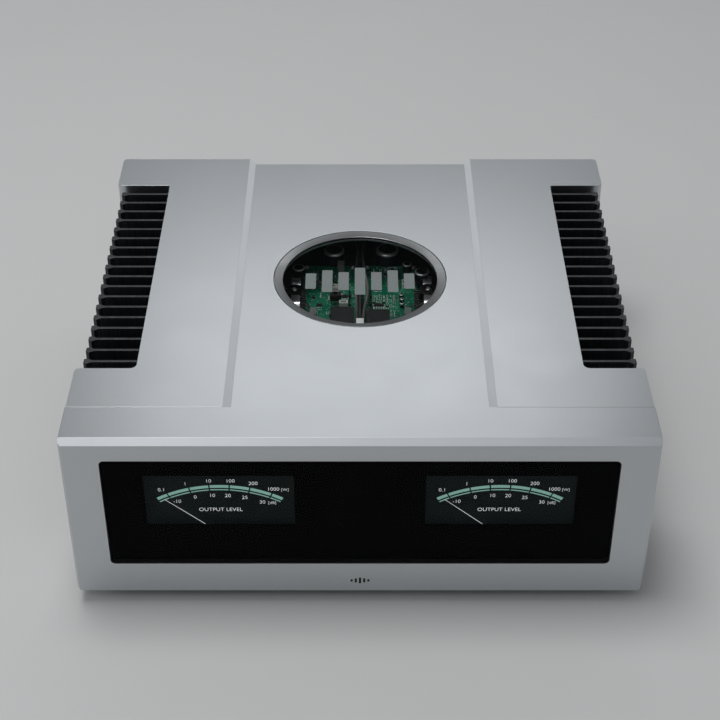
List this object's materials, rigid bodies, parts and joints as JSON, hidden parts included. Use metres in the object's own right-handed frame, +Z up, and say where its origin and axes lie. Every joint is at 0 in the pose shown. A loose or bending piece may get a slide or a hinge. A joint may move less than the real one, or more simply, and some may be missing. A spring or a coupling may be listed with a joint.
{
  "type": "power amplifier",
  "caption": "Wide silver stereo power amplifier with a black window holding pointer meters, open side heat sinks, a stepped lid and a round glass porthole over the circuit boards.",
  "frame": {"origin": "on the floor under the middle of the overall box", "axes": "+X to the right seen from the front, +Y to the rear, +Z up"},
  "size_m": [0.46, 0.46, 0.17],
  "materials": {
    "anodised_silver": "fine bead-blasted clear anodising, satin",
    "anodised_black": "black anodised extrusion, satin",
    "ring_metal": "turned and anodised, satin",
    "case_steel": "fine textured black paint",
    "smoked_glass": "polished, darkened",
    "clear_glass": "polished, clear",
    "mask_black": "matt black print",
    "dial_black": "matt dark dial with printed scale",
    "needle_white": "matt white paint",
    "black_plastic": "moulded, fine texture",
    "board_green": "glass-fibre board with green solder mask",
    "can_steel": "black lacquered can",
    "cap_sleeve": "shrink sleeve",
    "cable_jacket": "grey jacket",
    "foot_rubber": "moulded rubber",
    "gold_plate": "gold-plated brass, polished",
    "nickel_plate": "nickel-plated, satin"
  },
  "bodies": {
    "chassis": {"base_pan": "case_steel", "rear_panel": "case_steel", "mezzanine_plate": "case_steel", "center_divider": "case_steel", "front_panel": "anodised_silver", "top_plate": "anodised_silver", "cheek_front_left": "anodised_silver", "cheek_front_right": "anodised_silver", "cheek_rear_left": "anodised_silver", "cheek_rear_right": "anodised_silver", "heatsink_left": "anodised_black", "heatsink_right": "anodised_black", "porthole_ring": "ring_metal", "front_window": "smoked_glass", "porthole_glass": "clear_glass", "meter_mask": "mask_black", "dial_plate_left": "dial_black", "dial_plate_right": "dial_black", "meter_movement_left": "black_plastic", "meter_movement_right": "black_plastic", "relay_left": "black_plastic", "relay_right": "black_plastic", "inlet_module": "black_plastic", "display_board": "board_green", "amp_board_left": "board_green", "amp_board_right": "board_green", "input_board": "board_green", "transformer_left": "can_steel", "transformer_right": "can_steel", "reservoir_cap_1": "cap_sleeve", "reservoir_cap_2": "cap_sleeve", "reservoir_cap_3": "cap_sleeve", "reservoir_cap_4": "cap_sleeve", "signal_cable_left": "cable_jacket", "signal_cable_right": "cable_jacket", "foot_1": "foot_rubber", "foot_2": "foot_rubber", "foot_3": "foot_rubber", "foot_4": "foot_rubber", "post_base_1": "gold_plate", "post_base_2": "gold_plate", "post_base_3": "gold_plate", "post_base_4": "gold_plate", "xlr_socket_left": "nickel_plate", "xlr_socket_right": "nickel_plate", "rca_block": "nickel_plate"},
    "needle_left": {"needle_left": "needle_white"},
    "needle_right": {"needle_right": "needle_white"},
    "mains_rocker": {"mains_rocker": "black_plastic"},
    "fuse_drawer": {"fuse_drawer": "black_plastic"},
    "xlr_latch_left": {"xlr_latch_left": "black_plastic"},
    "xlr_latch_right": {"xlr_latch_right": "black_plastic"},
    "clamp_collar_1": {"clamp_collar_1": "gold_plate"},
    "post_knob_1": {"post_knob_1": "gold_plate"},
    "clamp_collar_2": {"clamp_collar_2": "gold_plate"},
    "post_knob_2": {"post_knob_2": "gold_plate"},
    "clamp_collar_3": {"clamp_collar_3": "gold_plate"},
    "post_knob_3": {"post_knob_3": "gold_plate"},
    "clamp_collar_4": {"clamp_collar_4": "gold_plate"},
    "post_knob_4": {"post_knob_4": "gold_plate"}
  },
  "joints": [
    {"name": "needle_left_swing", "type": "hinge", "parent": "chassis", "child": "needle_left", "pos_m": [-0.1104, -0.2191, 0.0646], "axis": [0, 1, 0], "range_deg": [0, 99.6], "stiffness_Nm_per_rad": 0.0005, "springref_deg": -20.05},
    {"name": "needle_right_swing", "type": "hinge", "parent": "chassis", "child": "needle_right", "pos_m": [0.1104, -0.2191, 0.0646], "axis": [0, 1, 0], "range_deg": [0, 99.6], "stiffness_Nm_per_rad": 0.0005, "springref_deg": -20.05},
    {"name": "mains_rocker_tilt", "type": "hinge", "parent": "chassis", "child": "mains_rocker", "pos_m": [0, 0.1996, 0.0806], "axis": [1, 0, 0], "range_deg": [0, 24]},
    {"name": "fuse_drawer_slide", "type": "slide", "parent": "chassis", "child": "fuse_drawer", "axis": [0, 1, 0], "range_m": [0, 0.018]},
    {"name": "xlr_latch_left_press", "type": "slide", "parent": "chassis", "child": "xlr_latch_left", "axis": [0, -1, 0], "range_m": [0, 0.002], "stiffness_N_per_m": 150, "springref_m": -0.002},
    {"name": "xlr_latch_right_press", "type": "slide", "parent": "chassis", "child": "xlr_latch_right", "axis": [0, -1, 0], "range_m": [0, 0.002], "stiffness_N_per_m": 150, "springref_m": -0.002},
    {"name": "clamp_collar_1_travel", "type": "slide", "parent": "chassis", "child": "clamp_collar_1", "axis": [0, 1, 0], "range_m": [0, 0.005]},
    {"name": "post_knob_1_turn", "type": "hinge", "parent": "clamp_collar_1", "child": "post_knob_1", "pos_m": [-0.141, 0.215, 0.06], "axis": [0, 1, 0], "range_deg": [0, 1440]},
    {"name": "clamp_collar_2_travel", "type": "slide", "parent": "chassis", "child": "clamp_collar_2", "axis": [0, 1, 0], "range_m": [0, 0.005]},
    {"name": "post_knob_2_turn", "type": "hinge", "parent": "clamp_collar_2", "child": "post_knob_2", "pos_m": [-0.11, 0.215, 0.06], "axis": [0, 1, 0], "range_deg": [0, 1440]},
    {"name": "clamp_collar_3_travel", "type": "slide", "parent": "chassis", "child": "clamp_collar_3", "axis": [0, 1, 0], "range_m": [0, 0.005]},
    {"name": "post_knob_3_turn", "type": "hinge", "parent": "clamp_collar_3", "child": "post_knob_3", "pos_m": [0.11, 0.215, 0.06], "axis": [0, 1, 0], "range_deg": [0, 1440]},
    {"name": "clamp_collar_4_travel", "type": "slide", "parent": "chassis", "child": "clamp_collar_4", "axis": [0, 1, 0], "range_m": [0, 0.005]},
    {"name": "post_knob_4_turn", "type": "hinge", "parent": "clamp_collar_4", "child": "post_knob_4", "pos_m": [0.141, 0.215, 0.06], "axis": [0, 1, 0], "range_deg": [0, 1440]}
  ],
  "couplings": [
    {"joint": "post_knob_1_turn", "follows": "clamp_collar_1_travel", "rad_per_m": 5026.5},
    {"joint": "post_knob_2_turn", "follows": "clamp_collar_2_travel", "rad_per_m": 5026.5},
    {"joint": "post_knob_3_turn", "follows": "clamp_collar_3_travel", "rad_per_m": 5026.5},
    {"joint": "post_knob_4_turn", "follows": "clamp_collar_4_travel", "rad_per_m": 5026.5}
  ]
}
